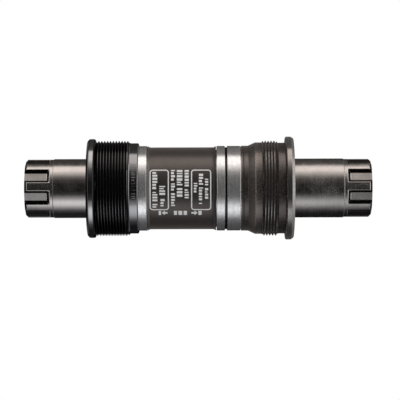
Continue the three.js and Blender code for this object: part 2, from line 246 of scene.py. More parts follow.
def notch_rows(angles, x_lip, x_face):
    """The tool notches, from their closed end at x_lip to the mouth at x_face."""
    toward = math.copysign(MOUTH_BEVEL, x_lip - x_face)
    radii = [notch_radius(a) for a in angles]
    rows = [[(x, r) for r in radii] for x in (x_lip, x_lip - toward, x_face + 2 * toward, x_face + toward)]
    rows.append([(x_face, r + MOUTH_BEVEL) for r in radii])
    return rows


def left_adapter():
    """Glossy black flanged ring, right-hand thread, tool notches in its mouth."""
    face, nose_end, flange = span("left_adapter_cup")
    seat = face + FLANGE_DEPTH
    thread_low = seat + 0.25
    thread_high = nose_end - 3.1
    lip = face + 5.6
    shoulder = face + 6
    bore = 15.65
    angles = notch_angles()
    envelope = polyline([
        (thread_low, NOSE_R), (thread_low + 0.3, THREAD_CREST),
        (thread_high - 0.7, THREAD_CREST), (thread_high, NOSE_R),
    ])
    flange_side = rounded([
        (face, MOUTH_R), (face, flange - 0.75, 0.18), (face + 0.75, flange, 0.3), (seat - 0.4, flange, 0.12),
        (seat, flange - 0.35, 0.1), (seat, NOSE_R, 0.12), (thread_low, NOSE_R),
    ])
    nose_side = rounded([
        (thread_high + 0.02, NOSE_R), (nose_end - 0.3, NOSE_R, 0.15), (nose_end, NOSE_R - 0.35, 0.1),
        (nose_end, bore + 0.25, 0.08), (nose_end - 0.3, bore, 0.1), (shoulder, bore),
        (shoulder, TOOL_MINOR), (lip, TOOL_MINOR),
    ])
    rows = plain_rows(flange_side, angles)
    rows += thread_rows(thread_low, thread_high, angles, envelope, True, **CUP_THREAD)
    rows += plain_rows(nose_side, angles)
    rows += notch_rows(angles, lip, face)
    return revolve("left_adapter_ring", rows, angles)


def drive_side_cup():
    """Dark flanged cup with a left-hand thread, fixed on the cartridge."""
    lip_end, face, flange = span("drive_side_cup")
    seat = face - FLANGE_DEPTH
    relief = 16.62
    land = 16.75
    lip_r = 15.55
    bore = 15.12
    thread_low = lip_end + 7.6
    thread_high = lip_end + 13.5
    notch_end = face - 5.5
    shoulder = face - 5.9
    angles = notch_angles()
    envelope = polyline([
        (thread_low, land), (thread_low + 0.5, THREAD_CREST),
        (thread_high - 0.6, THREAD_CREST), (thread_high, relief),
    ])
    lip_side = rounded([
        (lip_end, bore + 0.1), (lip_end, lip_r - 0.15, 0.05), (lip_end + 0.15, lip_r, 0.06),
        (lip_end + 0.8, lip_r, 0.04), (lip_end + 0.9, lip_r - 0.1, 0.04), (lip_end + 1, lip_r, 0.04),
        (lip_end + 2.6, lip_r, 0.5), (lip_end + 5.2, land, 0.5), (thread_low, land),
    ])
    flange_side = rounded([
        (thread_high + 0.02, relief), (seat, relief, 0.35), (seat, flange - 0.25, 0.08),
        (seat + 0.25, flange, 0.1), (face - 1, flange, 0.15), (face, flange - 0.65, 0.15), (face, MOUTH_R),
    ])
    inside = [
        (notch_end, TOOL_MINOR), (shoulder, TOOL_MINOR), (shoulder, bore), (lip_end + 0.1, bore),
        (lip_end, bore + 0.1),
    ]
    rows = plain_rows(lip_side, angles)
    rows += thread_rows(thread_low, thread_high, angles, envelope, False, **CUP_THREAD)
    rows += plain_rows(flange_side, angles)
    rows += reversed(notch_rows(angles, notch_end, face))
    rows += plain_rows(inside, angles)
    return revolve("drive_cup", rows, angles)


# ---------------------------------------------------------------- axle
FLOOR_HALF = 9  # degrees from a groove's middle to the end of its floor
FLANK_WIDTH = 5.6  # degrees from there to the tip of a tooth
WALL_LENGTH = 1.05  # how far a groove takes to run out at its inner end
BLEND = 0.2
# degrees from a groove's middle, with columns close together on its edges
SPLINE_STEPS = (0, 4, 7, 8.2, FLOOR_HALF, 9.8, 11, 12.6, 13.6, 14.2, 14.8, 15.4, 16.2, 18.5)
# distances from the axle's end face, and from the inner end of a groove's floor
END_STEPS = (0, 0.1, 0.25, 0.45, 0.65, 0.8, 0.9, 1.05, 1.4, 3, 5.5)
WALL_STEPS = (-0.6, -0.25, -0.1, 0, 0.1, 0.25, 0.45, 0.65, 0.85, 1, 1.1, 1.2, 1.35, 1.6)


def spline_angles():
    """Column angles from 0 to a full turn, and the angle at which the first column stands."""
    sector = TURN / SPLINES
    offsets = sorted({math.radians(sign * step) for step in SPLINE_STEPS for sign in (-1, 1)} | {-sector / 2})
    first_groove = TOOTH_ANGLE + sector / 2
    angles = [first_groove + i * sector + offset for i in range(SPLINES) for offset in offsets]
    return [a - angles[0] for a in angles] + [TURN], angles[0]


def smooth_min(a, b, blend):
    mix = max(0, 1 - abs(a - b) / blend)
    return min(a, b) - blend * mix * mix / 4


def groove_radius(angle, x, floor_end, side):
    """The surface that a spline groove is cut down to, at this angle and x, before the tip's limit."""
    sector = TURN / SPLINES
    offset = abs((angle - TOOTH_ANGLE) % sector - sector / 2)
    rise = SPLINE_TIP - SPLINE_FLOOR
    flank = SPLINE_FLOOR + (math.degrees(offset) - FLOOR_HALF) * rise / FLANK_WIDTH
    wall = SPLINE_FLOOR + (floor_end - x) * side * rise / WALL_LENGTH
    base = SPLINE_FLOOR / math.cos(min(offset, math.radians(FLOOR_HALF)))
    return -smooth_min(-base, smooth_min(-flank, -wall, BLEND), BLEND)


def axle():
    """Hollow splined axle with a thread for a crank bolt in each end."""
    left, right, middle_r = span("axle")
    chamfer = 0.85
    left_floor, right_floor = left + 8.1, right - 7.8
    collar_left, collar_right = left + 10.25, right - 10
    shoulder = -span("left_inner_race")[1] - 0.2
    ring_low, ring_high, _ = span("left_retaining_ring")
    ring_left, ring_right = ring_low - 0.1, ring_high + 0.1
    groove_r = SHAFT_R - 0.45
    angles, first = spline_angles()

    def splined(x):
        side = -1 if x < 0 else 1
        floor_end = left_floor if x < 0 else right_floor
        limit = SPLINE_TIP - max(0, chamfer - min(x - left, right - x))
        return [(x, smooth_min(limit, groove_radius(a + first, x, floor_end, side), 0.12)) for a in angles]

    shaft = rounded([
        (collar_left - 0.15, SPLINE_TIP), (collar_left, SPLINE_TIP, 0.03),
        (collar_left + 0.16, SHAFT_R, 0.06),
        (ring_left, SHAFT_R), (ring_left, groove_r), (ring_right, groove_r), (ring_right, SHAFT_R),
        (-shoulder, SHAFT_R), (-shoulder, middle_r), (shoulder, middle_r), (shoulder, SHAFT_R),
        (-ring_right, SHAFT_R), (-ring_right, groove_r), (-ring_left, groove_r), (-ring_left, SHAFT_R),
        (collar_right - 0.16, SHAFT_R, 0.06),
        (collar_right, SPLINE_TIP, 0.03), (collar_right + 0.15, SPLINE_TIP),
    ])
    rows = [splined(left + step) for step in END_STEPS]
    rows += [splined(left_floor + step) for step in WALL_STEPS]
    rows += plain_rows(shaft, angles)
    rows += [splined(right_floor - step) for step in reversed(WALL_STEPS)]
    rows += [splined(right - step) for step in reversed(END_STEPS)]
    rows += bolt_bore(right, 1, angles)
    rows += reversed(bolt_bore(left, -1, angles))
    piece = revolve("splined_axle", rows, angles)
    piece.data.transform(Matrix.Rotation(-first, 4, "X"))
    return piece


def bolt_bore(end, side, angles):
    """The threaded mouth of the axle's bore, from the end face inwards."""
    mouth = 7.7
    lead_in = 0.55
    open_r = BOLT_MINOR + 0.5
    start = end - side * 1
    low, high = sorted((start, end - side * 13))
    if side > 0:
        envelope = polyline([(low, BOLT_MINOR), (high - lead_in, BOLT_MINOR), (high, open_r)])
    else:
        envelope = polyline([(low, open_r), (low + lead_in, BOLT_MINOR), (high, BOLT_MINOR)])
    thread = thread_rows(low, high, angles, envelope, True, **BOLT_THREAD)
    if side > 0:
        thread.reverse()
    face = [(end, mouth + 0.35), (end - side * 0.2, mouth + 0.1), (end - side * 0.45, mouth), (start, mouth),
            (start, open_r)]
    deep = [(end - side * 24, BOLT_MINOR), (end - side * 24.6, 6.5)]
    return plain_rows(face, angles) + thread + plain_rows(deep, angles)


# ---------------------------------------------------------------- bearings, sleeve and small rings
def ball_facts():
    """The left ball row's x, pitch radius and ball radius, in millimetres, from its first ball's box."""
    low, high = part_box("left_ball_01")
    return (low.x + high.x) / 2 / MM, (low.y + high.y) / 2 / MM, (high.x - low.x) / 2 / MM


def track(centre_x, pitch_r, track_r, start, end, steps=10):
    """Points of a ball track's arc, at angles from +X towards growing radius."""
    points = []
    for i in range(steps + 1):
        angle = start + (end - start) * i / steps
        points.append((centre_x + track_r * math.cos(angle), pitch_r + track_r * math.sin(angle)))
    return points


def race_inside(spigot_end):
    """The inside of the left outer race, from its spigot out to its seal seat."""
    row_x, pitch_r, ball_r = ball_facts()
    track_r = ball_r + TRACK_GAP
    half = math.asin((RACE_BORE - pitch_r) / track_r)
    outer_end = span("left_outer_race")[0]
    lip_x = row_x + 4.5
    return [
        (spigot_end, BORE_LIP, 0.15),
        (lip_x, BORE_LIP, 0.1),
        (lip_x, RACE_BORE, 0.1),
        *track(row_x, pitch_r, track_r, half, math.pi - half),
        (outer_end + 1.4, RACE_BORE, 0.08),
        (outer_end + 1.4, SEAL_SEAT, 0.08),
        (outer_end, SEAL_SEAT, 0.12),
    ]


def left_outer_race():
    outer_end, spigot_end, radius = span("left_outer_race")
    shoulder = spigot_end - 3
    return turned("left_race_ring", [
        (outer_end, radius - 0.3, 0.1),
        (outer_end + 0.3, radius, 0.1),
        (shoulder, radius, 0.1),
        (shoulder, SPIGOT, 0.08),
        (spigot_end, SPIGOT, 0.12),
        *race_inside(spigot_end),
    ], columns=160)


def right_outer_race():
    """The race with a groove round it, which steps down inside the drive-side cup's lip."""
    spigot_end, outer_end, radius = span("right_outer_race")
    shoulder = spigot_end + 3
    groove = span("center_sleeve")[1] + RACE_GROOVE
    step = span("drive_side_cup")[0] - 0.2
    step_r = 15
    return turned("right_race_ring", [
        (spigot_end, SPIGOT, 0.12),
        (shoulder, SPIGOT, 0.08),
        (shoulder, radius, 0.16),
        (groove, radius, 0.1),
        (groove + 0.08, radius - 0.5, 0.08),
        (groove + 0.77, radius - 0.5, 0.08),
        (groove + 0.85, radius, 0.1),
        (step, radius, 0.16),
        (step, step_r, 0.05),
        (outer_end, step_r, 0.12),
        *mirrored(race_inside(-spigot_end)),
    ], columns=160)


def inner_race(side):
    low, high, _ = span("left_inner_race")
    row_x, pitch_r, ball_r = ball_facts()
    track_r = ball_r + TRACK_GAP
    half = math.asin((pitch_r - INNER_RACE) / track_r)
    bore = 10.9
    return turned(SIDE_NAMES[side] + "_inner_race_ring", on_side(side, [
        (low, INNER_RACE - 0.3, 0.08),
        (low + 0.3, INNER_RACE, 0.08),
        *track(row_x, pitch_r, track_r, math.pi + half, TURN - half),
        (high - 0.3, INNER_RACE, 0.08),
        (high, INNER_RACE - 0.3, 0.08),
        (high, bore, 0.1),
        (low, bore, 0.1),
    ]))


def outer_seal(side):
    """A rubber seal with a raised rim, a shallow dish and a lip on the inner race."""
    low, high, radius = span("left_outer_seal")
    return turned(SIDE_NAMES[side] + "_seal_lip", on_side(side, [
        (low, radius - 0.3, 0.08),
        (low + 0.25, radius, 0.1),
        (high, radius, 0.1),
        (high, 12.4, 0.1),
        (low + 0.35, 12.32, 0.12),
        (low, 12.42, 0.08),
        (low + 0.02, 12.62, 0.05),
        (low + 0.3, 12.75, 0.1),
        (low + 0.3, 13.2, 0.1),
        (low + 0.02, 13.35, 0.08),
    ]))


def inner_shield(side):
    low, high, radius = span("left_inner_shield")
    inner = 12.36
    return turned(SIDE_NAMES[side] + "_grease_shield", on_side(side, [
        (low, radius, 0.08),
        (high, radius, 0.08),
        (high, radius - 0.35, 0.05),
        (high - 0.35, radius - 0.45, 0.08),
        (high - 0.35, inner, 0.05),
        (low, inner, 0.05),
    ]))


def snap_ring(side):
    """An open spring ring with rounded edges; its gap is at the bottom."""
    low, high, radius = span(SIDE_NAMES[side] + "_retaining_ring")
    inner = 10.5
    gap = math.radians(26)
    columns = 90
    bottom = -math.pi / 2
    section = rounded([(low, radius, 0.12), (high, radius, 0.12), (high, inner, 0.12), (low, inner, 0.12)])
    bm = bmesh.new()
    rings = []
    for i in range(columns + 1):
        angle = bottom + gap / 2 + (TURN - gap) * i / columns
        rings.append([vertex(bm, x, angle, r) for x, r in section])
    for ring, after in zip(rings, rings[1:]):
        for k in range(len(section)):
            n = (k + 1) % len(section)
            bm.faces.new((ring[k], ring[n], after[n], after[k]))
    bm.faces.new(rings[0])
    bm.faces.new(rings[-1])
    return finish_mesh(SIDE_NAMES[side] + "_snap_ring", bm)


def sleeve():
    """The tube between the bearings, which flares a little at both ends."""
    left, right, flare = span("center_sleeve")
    inner = 14.25
    return turned("sleeve_tube", [
        (left, flare, 0.08),
        (left + 0.95, SLEEVE_R, 0.5),
        (right - 0.95, SLEEVE_R, 0.5),
        (right, flare, 0.08),
        (right, inner, 0.1),
        (left, inner, 0.1),
    ], columns=180)


def ball(node):
    """A smooth ball in the place of its faceted CAD ball."""
    low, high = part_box(node)
    bm = bmesh.new()
    place = Matrix.Translation((low + high) / 2)
    bmesh.ops.create_icosphere(bm, subdivisions=3, radius=(high.x - low.x) / 2, matrix=place)
    return finish_mesh(node.replace("ball_", "steel_ball_"), bm)


def cage(side):
    """A moulded ring with a round pocket for each ball."""
    name = SIDE_NAMES[side] + "_ball_cage"
    low, high, outer = span(name)
    inner = outer - 1
    pitch_r, ball_r = ball_facts()[1:]
    pocket_r = (ball_r + 0.13) * MM
    ring = turned(name + "_ring", [
        (low, outer, 0.2), (high, outer, 0.2), (high, inner, 0.2), (low, inner, 0.2),
    ])
    bm = bmesh.new()
    for i in range(BALLS_PER_ROW):
        place = (
            Matrix.Rotation(TURN * i / BALLS_PER_ROW, 4, "X")
            @ Matrix.Translation(((low + high) / 2 * MM, pitch_r * MM, 0))
            @ Matrix.Rotation(math.pi / 2, 4, "X")
        )
        bmesh.ops.create_cone(bm, cap_ends=True, segments=32, radius1=pocket_r, radius2=pocket_r,
                              depth=4 * MM, matrix=place)
    cutter = finish_mesh("pocket_cutter", bm, smooth=False)
    cut = ring.modifiers.new("pockets", "BOOLEAN")
    cut.operation = "DIFFERENCE"
    cut.solver = "EXACT"
    cut.object = cutter
    bpy.context.view_layer.update()
    evaluated = ring.evaluated_get(bpy.context.evaluated_depsgraph_get())
    mesh = bpy.data.meshes.new_from_object(evaluated)
    ring.modifiers.clear()
    ring.data = mesh
    shade_smooth(mesh)
    bpy.data.objects.remove(cutter)
    return ring


# ---------------------------------------------------------------- print on the sleeve
# Print positions are x in millimetres and angles in degrees: (left, right, top, bottom).
PRINT_TOP = 25.4
PRINT_BOTTOM = -31
PRINT_WORDS = (
    (-14.3, -12.5, 22.7, -27.8), (-11.8, -9.7, 3, -9.5), (-11.4, -9.9, -15, -27),
    (-7.6, -6.2, 25.7, -26.2), (-5.5, -3.5, 25.7, -16.6), (-2.7, -1.2, 25.7, -15.2),
    (0.6, 1.85, 7, -9.6), (2.4, 3.95, 20, -22.8), (4.6, 5.75, 12.8, -16.6),
)
PRINT_FIGURES = ((-6.6, -5.5), (-5, -3.6), (-3.1, -1.9), (-12.1, -11.2), (2.2, 3.4))
LETTER_GAP = 1.35
WORD_GAP = 2.4


def film(bm, edge_a, edge_b, closed=False):
    """A thin film on the sleeve between two edges, lists of (x, angle) that run side by side."""
    low_a, high_a, low_b, high_b = (
        [vertex(bm, x, angle, radius) for x, angle in edge]
        for edge, radius in ((edge_a, FILM_LOW), (edge_a, FILM_HIGH), (edge_b, FILM_LOW), (edge_b, FILM_HIGH))
    )
    count = len(edge_a)
    for i in range(count if closed else count - 1):
        n = (i + 1) % count
        bm.faces.new((high_a[i], high_a[n], high_b[n], high_b[i]))
        bm.faces.new((low_a[i], low_b[i], low_b[n], low_a[n]))
        bm.faces.new((high_a[i], low_a[i], low_a[n], high_a[n]))
        bm.faces.new((high_b[i], high_b[n], low_b[n], low_b[i]))
    if not closed:
        for i in (0, -1):
            bm.faces.new((high_a[i], high_b[i], low_b[i], low_a[i]))


def print_frame(bm, x_left, x_right, corner=0.95):
    """The line of a rounded rectangle."""
    top = math.radians(PRINT_TOP) * SLEEVE_R - corner
    bottom = math.radians(PRINT_BOTTOM) * SLEEVE_R + corner
    corners = (
        (x_right - corner, top, 0), (x_left + corner, top, 90),
        (x_left + corner, bottom, 180), (x_right - corner, bottom, 270),
    )
    side_steps = 14
    edges = []
    for inset in (-PRINT_LINE / 2, PRINT_LINE / 2):
        reach = corner - inset
        edge = []
        for k, (cx, cu, start) in enumerate(corners):
            for step in range(7):
                angle = math.radians(start + 15 * step)
                edge.append((cx + reach * math.cos(angle), (cu + reach * math.sin(angle)) / SLEEVE_R))
            if k in (1, 3):
                x, here = edge[-1]
                there = corners[(k + 1) % 4][1] / SLEEVE_R
                edge += [(x, here + (there - here) * step / side_steps) for step in range(1, side_steps)]
        edges.append(edge)
    film(bm, *edges, closed=True)


def print_patch(bm, x_left, x_right, top, bottom):
    """A filled rectangle."""
    steps = max(1, math.ceil(abs(top - bottom) / 3))
    angles = [math.radians(top + (bottom - top) * i / steps) for i in range(steps + 1)]
    film(bm, [(x_left, a) for a in angles], [(x_right, a) for a in angles])


def print_words(bm, x_left, x_right, top, bottom, chance):
    """A line of plain blocks of uneven length down the sleeve, in the place of a line of words."""
    angle = top
    letters = chance.randint(3, 6)
    while angle - bottom > 2:
        length = min(chance.choice((1.6, 2.1, 2.7, 3.3)), angle - bottom)
        short = chance.choice((0, 0, 0.25)) * (x_right - x_left)
        print_patch(bm, x_left, x_right - short, angle, angle - length)
        angle -= length + LETTER_GAP
        letters -= 1
        if letters == 0:
            angle -= WORD_GAP
            letters = chance.randint(3, 6)


def print_arrow(bm, tip, tail):
    """An arrow along X with its head at tip."""
    centre = math.radians(-36.4)
    head = math.radians(4)
    head_end = tip + 0.5 * (tail - tip)
    shaft = head * 0.36
    upper = [
        (tip, centre + 0.001), (head_end, centre + head), (head_end, centre + shaft), (tail, centre + shaft),
    ]
    lower = [(x, 2 * centre - angle) for x, angle in upper]
    film(bm, upper, lower)


def print_marks():
    """The sleeve's white print: two frames, plain blocks in the place of words, and two arrows."""
    chance = random.Random(12)
    bm = bmesh.new()
    print_frame(bm, -15.1, -8.55)
    print_frame(bm, -0.2, 6.65)
    frames = finish_mesh("print_frames", bm)
    bm = bmesh.new()
    for words in PRINT_WORDS:
        print_words(bm, *words, chance)
    for x_left, x_right in PRINT_FIGURES:
        print_patch(bm, x_left, x_right, -33, -40)
    blocks = finish_mesh("print_blocks", bm)
    bm = bmesh.new()
    print_arrow(bm, -10.95, -8.9)
    print_arrow(bm, 1.9, -0.3)
    arrows = finish_mesh("print_arrows", bm)
    return frames, blocks, arrows


def raised_block(bm, x_left, x_right, top, bottom):
    """A small flat block with sloping sides on the left adapter's nose."""
    foot_r = NOSE_R + 0.002
    turn = math.degrees(BLOCK_BEVEL / NOSE_R)
    foot = [(x_left, top), (x_right, top), (x_right, bottom), (x_left, bottom)]
    head = [(x_left + BLOCK_BEVEL, top - turn), (x_right - BLOCK_BEVEL, top - turn),
            (x_right - BLOCK_BEVEL, bottom + turn), (x_left + BLOCK_BEVEL, bottom + turn)]
    low = [vertex(bm, x, math.radians(angle), foot_r) for x, angle in foot]
    high = [vertex(bm, x, math.radians(angle), foot_r + BLOCK_BEVEL) for x, angle in head]
    bm.faces.new(low)
    bm.faces.new(high)
    for i in range(4):
        n = (i + 1) % 4
        bm.faces.new((low[i], low[n], high[n], high[i]))


def nose_marks():
    """Plain raised blocks on the left adapter's nose, in the place of its raised words."""
    nose_end = span("left_adapter_cup")[1]
    chance = random.Random(3)
    bm = bmesh.new()
    angle = 31
    while angle > -13:
        length = chance.choice((1.2, 1.7, 2.4))
        short = chance.choice((0, 0, 0.35))
        raised_block(bm, nose_end - 2.3, nose_end - 0.95 - short, angle, angle - length)
        angle -= length + chance.choice((0.9, 0.9, 2.2))
    return finish_mesh("nose_blocks", bm)


# ---------------------------------------------------------------- shader nodes
def new_material(name, **constants):
    """A material, its node tree and its shader with these constants set on the shader's own sockets."""
    material = bpy.data.materials.new(name)
    material.use_nodes = True
    shader = material.node_tree.nodes["Principled BSDF"]
    for socket, value in constants.items():
        shader.inputs[socket.replace("_", " ")].default_value = value
    return material, material.node_tree, shader


def add(tree, kind, inputs, **settings):
    """A shader node with these settings; each input is a constant or another node's output."""
    made = tree.nodes.new("ShaderNode" + kind)
    for key, value in settings.items():
        setattr(made, key, value)
    for socket, value in inputs.items():
        if isinstance(value, bpy.types.NodeSocket):
            tree.links.new(value, made.inputs[socket])
        else:
            made.inputs[socket].default_value = value
    return made


def calc(tree, operation, a, b=0.0):
    return add(tree, "Math", {0: a, 1: b}, operation=operation).outputs[0]


def times(tree, colour, factor):
    """The colour, darker or brighter by this factor."""
    return add(tree, "VectorMath", {0: colour, "Scale": factor}, operation="SCALE").outputs[0]


def mix(tree, factor, at_0, at_1):
    """Between two colours; 6 and 7 are the colour sockets among the Mix node's inputs."""
    return add(tree, "Mix", {"Factor": factor, 6: at_0, 7: at_1}, data_type="RGBA").outputs[2]


def remap(tree, value, low, high, to_low, to_high):
    """The value's stretch from low to high, spread from to_low to to_high."""
    return add(tree, "MapRange", {
        "Value": value, "From Min": low, "From Max": high, "To Min": to_low, "To Max": to_high,
    }).outputs[0]


def window(tree, value, low, high, edge=0.08):
    """1 between low and high and 0 outside, with soft edges."""
    rise = remap(tree, value, low - edge, low, 0, 1)
    return calc(tree, "MULTIPLY", rise, remap(tree, value, high, high + edge, 1, 0))


def masked(tree, colour, mask, factor):
    """The colour, times this factor where the mask is 1."""
    return times(tree, colour, remap(tree, mask, 0, 1, 1, factor))


def shade(tree, value, *stops):
    """A colour for each value from (place, (r, g, b)) or (place, grey) stops."""
    made = add(tree, "ValToRGB", {0: value})
    ramp = made.color_ramp
    while len(ramp.elements) < len(stops):
        ramp.elements.new(1)
    for element, (place, colour) in zip(ramp.elements, stops):
        element.position = place
        element.color = (*colour, 1) if isinstance(colour, tuple) else (colour, colour, colour, 1)
    return made.outputs[0]


def axle_place(tree):
    """x, y, z and the radius round the axle, in millimetres."""
    place = add(tree, "TexCoord", {}).outputs["Object"]
    x, y, z = add(tree, "SeparateXYZ", {0: times(tree, place, 1 / MM)}).outputs
    squares = calc(tree, "ADD", calc(tree, "MULTIPLY", y, y), calc(tree, "MULTIPLY", z, z))
    radius = calc(tree, "SQRT", squares)
    return x, y, z, radius


def lathe_marks(tree, fineness, length=0.06, detail=3.0):
    """Noise drawn out round the axle, like the fine rings that turning leaves, with about this many in a
    millimetre."""
    x, y, z, radius = axle_place(tree)
    along = add(tree, "CombineXYZ", {
        0: calc(tree, "MULTIPLY", x, fineness),
        1: calc(tree, "MULTIPLY", radius, fineness),
        2: calc(tree, "MULTIPLY", y, length),
    }).outputs[0]
    return add(tree, "TexNoise", {
        "Vector": along, "W": calc(tree, "MULTIPLY", z, length), "Scale": 1.0, "Detail": detail,
        "Roughness": 0.6,
    }, noise_dimensions="4D").outputs["Fac"]


def grain(tree, fineness, detail=3.0, roughness=0.55, distortion=0.0):
    """Even noise with about this many spots in a millimetre."""
    place = add(tree, "TexCoord", {}).outputs["Object"]
    return add(tree, "TexNoise", {
        "Vector": place, "Scale": fineness / MM, "Detail": detail, "Roughness": roughness,
        "Distortion": distortion,
    }).outputs["Fac"]


def surface(tree, shader, colour, roughness):
    tree.links.new(colour, shader.inputs["Base Color"])
    tree.links.new(roughness, shader.inputs["Roughness"])


def bump(tree, shader, height, distance, under=None):
    """Gives the shader a bump of this depth in millimetres, on top of another bump if there is one."""
    inputs = {"Height": height, "Distance": distance * MM, "Strength": 1.0}
    if under is not None:
        inputs["Normal"] = under
    made = add(tree, "Bump", inputs).outputs[0]
    tree.links.new(made, shader.inputs["Normal"])
    return made


# ---------------------------------------------------------------- materials
WARM = (1, 0.88, 0.82, 1)


def axle_steel():
    """Hardened steel, turned and lightly polished, with faint handling marks. The flanks and run-out walls of
    the spline grooves are painted nearly black as shade."""
    material, tree, shader = new_material("axle_steel", Metallic=1.0)
    marks = lathe_marks(tree, 5)
    smudges = grain(tree, 0.22, detail=4, distortion=0.6)
    x, _, _, radius = axle_place(tree)
    splined = remap(tree, calc(tree, "ABSOLUTE", x), 52, 52.2, 0, 1)
    # painted shade: the flanks and run-out walls of the spline grooves are made nearly black
    flank = calc(tree, "MULTIPLY", splined, window(tree, radius, 9.56, 10.46, 0.07))
    clean = shade(tree, smudges, (0.3, (0.5, 0.465, 0.445)), (0.72, (0.62, 0.585, 0.565)))
    polish = calc(tree, "ADD", remap(tree, smudges, 0.3, 0.7, -0.02, 0.05), remap(tree, x, 25, 45, 0, 0.06))
    rough = calc(tree, "ADD", remap(tree, marks, 0.3, 0.7, 0.12, 0.2), polish)
    surface(tree, shader, masked(tree, clean, flank, 0.025), rough)
    bump(tree, shader, marks, 0.004)
    return material


def race_steel():
    """Ground bearing steel: bright, with a fine satin from the grinding wheel. Painted shade makes the groove
    round the right race nearly black.
    """
    material, tree, shader = new_material("race_steel", Metallic=0.86)
    marks = lathe_marks(tree, 2.2, length=0.12, detail=4)
    smudges = grain(tree, 0.3, detail=4)
    x, _, _, radius = axle_place(tree)
    groove = span("center_sleeve")[1] + RACE_GROOVE
    outside = remap(tree, radius, 14.9, 15, 0, 1)
    # painted shade: the groove round the right race is made nearly black
    groove_painted_shade = calc(tree, "MULTIPLY", window(tree, x, groove - 0.03, groove + 0.88, 0.04), outside)
    clean = shade(tree, smudges, (0.3, (0.92, 0.92, 0.92)), (0.7, (1, 0.99, 0.98)))
    blotches = grain(tree, 0.9, detail=4, roughness=0.6)
    clean = times(tree, clean, remap(tree, blotches, 0.35, 0.62, 0.87, 1.01))
    surface(tree, shader, masked(tree, clean, groove_painted_shade, 0.03), remap(tree, marks, 0.3, 0.7, 0.17, 0.25))
    bump(tree, shader, marks, 0.0014)
    return material


def ball_steel():
    """Mirror-polished balls with a thin film of grease."""
    material, tree, shader = new_material("ball_steel", Metallic=1.0)
    film_marks = grain(tree, 0.9, detail=4, distortion=1.0)
    colour = shade(tree, film_marks, (0.3, (0.76, 0.76, 0.74)), (0.65, (0.84, 0.84, 0.85)))
    surface(tree, shader, colour, remap(tree, film_marks, 0.35, 0.75, 0.04, 0.16))
    return material


def gloss_black():
    """Glossy black plating with a soft orange-peel surface. The threads are rougher, and their colour is
    painted darker as shade, darkest in the roots. Painted shade also darkens the flange's outer bevel, its
    back corner and the last thread turn, and the flange's colour is raised as a painted highlight.
    """
    material, tree, shader = new_material("gloss_black", Metallic=1.0)
    low, high, _ = span("left_adapter_cup")
    x, _, _, radius = axle_place(tree)
    threads = window(tree, x, low + 3, high - 4.25)
    # painted shade: the flange's outer rounded edge is darkened to half
    flange_edge_painted_shade = window(tree, x, low + 0.45, low + 1, 0.1)
    # painted highlight: the flange's colour is raised 1.4 times in the loop below
    flange = window(tree, x, low + 1, low + 2.3, 0.15)
    # painted shade: the flange's back chamfer and the corner at its seat are darkened to 0.1
    flange_corner_painted_shade = window(tree, x, low + 2.5, low + 3.1, 0.1)
    # painted shade: the last thread turn by the nose is darkened to 0.1
    last_root_painted_shade = window(tree, x, high - 3.8, high - 3.4, 0.06)
    # painted shade: this radius mask darkens the thread roots to 0.12 of the thread colour
    crests = remap(tree, radius, THREAD_CREST - 0.3, THREAD_CREST - 0.05, 0, 1)
    peel = grain(tree, 1.3, detail=2)
    dust = grain(tree, 9, detail=3)
    shiny = shade(tree, dust, (0.35, (0.27, 0.27, 0.275)), (0.8, (0.37, 0.365, 0.36)))
    # painted shade: the threads get a darker colour than the rest of the plating
    thread_painted_shade = shade(tree, dust, (0.35, (0.1, 0.1, 0.103)), (0.8, (0.14, 0.138, 0.136)))
    thread_painted_shade = times(tree, thread_painted_shade, remap(tree, crests, 0, 1, 0.12, 1))
    colour = mix(tree, threads, shiny, thread_painted_shade)
    # painted shade and a painted highlight: each mask darkens or brightens the colour by its factor
    for mask, factor in ((flange_corner_painted_shade, 0.1), (flange_edge_painted_shade, 0.5), (flange, 1.4), (last_root_painted_shade, 0.1)):
        colour = masked(tree, colour, mask, factor)
    dulled = calc(tree, "MULTIPLY", threads, 0.15)
    rough = calc(tree, "ADD", remap(tree, dust, 0.3, 0.7, 0.05, 0.09), dulled)
    surface(tree, shader, colour, rough)
    bump(tree, shader, peel, 0.006)
    return material


